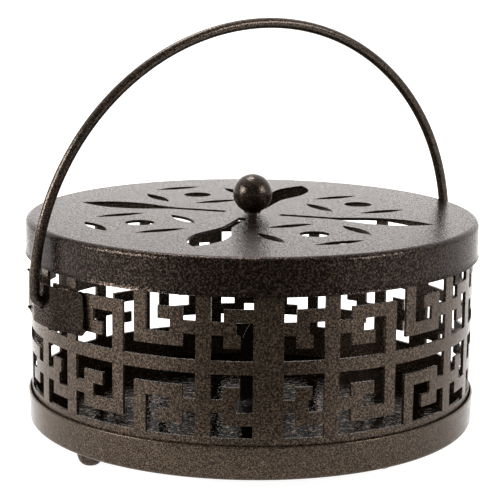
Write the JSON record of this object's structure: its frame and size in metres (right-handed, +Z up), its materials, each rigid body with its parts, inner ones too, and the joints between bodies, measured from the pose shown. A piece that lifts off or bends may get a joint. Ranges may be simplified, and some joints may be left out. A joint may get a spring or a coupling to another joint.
{
  "type": "incense coil burner",
  "caption": "Round metal incense coil burner with a fretwork band, pierced lift-off lid with a ball knob, bail handle, pan on feet and a coil stand.",
  "frame": {"origin": "on the ground plane under the feet, on the axis of the pan, band and lid", "axes": "+Z up; -Y is the front of the picture's view; +X to its right"},
  "size_m": [0.15, 0.15, 0.1373],
  "materials": {
    "foot_coat": "hammered bronze-brown powder coat, satin",
    "pan_coat": "hammered bronze-brown powder coat, satin",
    "band_coat": "hammered bronze-brown powder coat, satin",
    "stand_coat": "dark brown-black powder coat, satin",
    "rivet_steel": "plain steel rivet, dulled",
    "bracket_coat": "hammered bronze-brown powder coat, satin",
    "handle_coat": "bronze-brown powder coat over wire, satin",
    "lid_coat": "hammered bronze-brown powder coat, satin",
    "knob_coat": "bronze-brown powder coat, semi-gloss",
    "washer_steel": "zinc-plated steel",
    "screw_steel": "zinc-plated steel"
  },
  "bodies": {
    "base": {"base_pan": "pan_coat", "foot_front_left": "foot_coat", "foot_front_right": "foot_coat", "foot_back_right": "foot_coat", "foot_back_left": "foot_coat", "fret_band": "band_coat", "coil_stand": "stand_coat", "stand_rivet": "rivet_steel", "bracket_left": "bracket_coat", "bracket_right": "bracket_coat"},
    "handle": {"handle": "handle_coat"},
    "lid": {"lid": "lid_coat", "knob": "knob_coat", "knob_washer": "washer_steel", "knob_screw": "screw_steel"}
  },
  "joints": [
    {"name": "handle_swing", "type": "hinge", "parent": "base", "child": "handle", "pos_m": [0, 0, 0.0504], "axis": [0.859, 0.512, 0], "range_deg": [-119.7, 110.3]},
    {"name": "lid_turn", "type": "hinge", "parent": "base", "child": "lid", "pos_m": [0, 0, 0.0715], "axis": [0, 0, 1], "continuous": true}
  ]
}
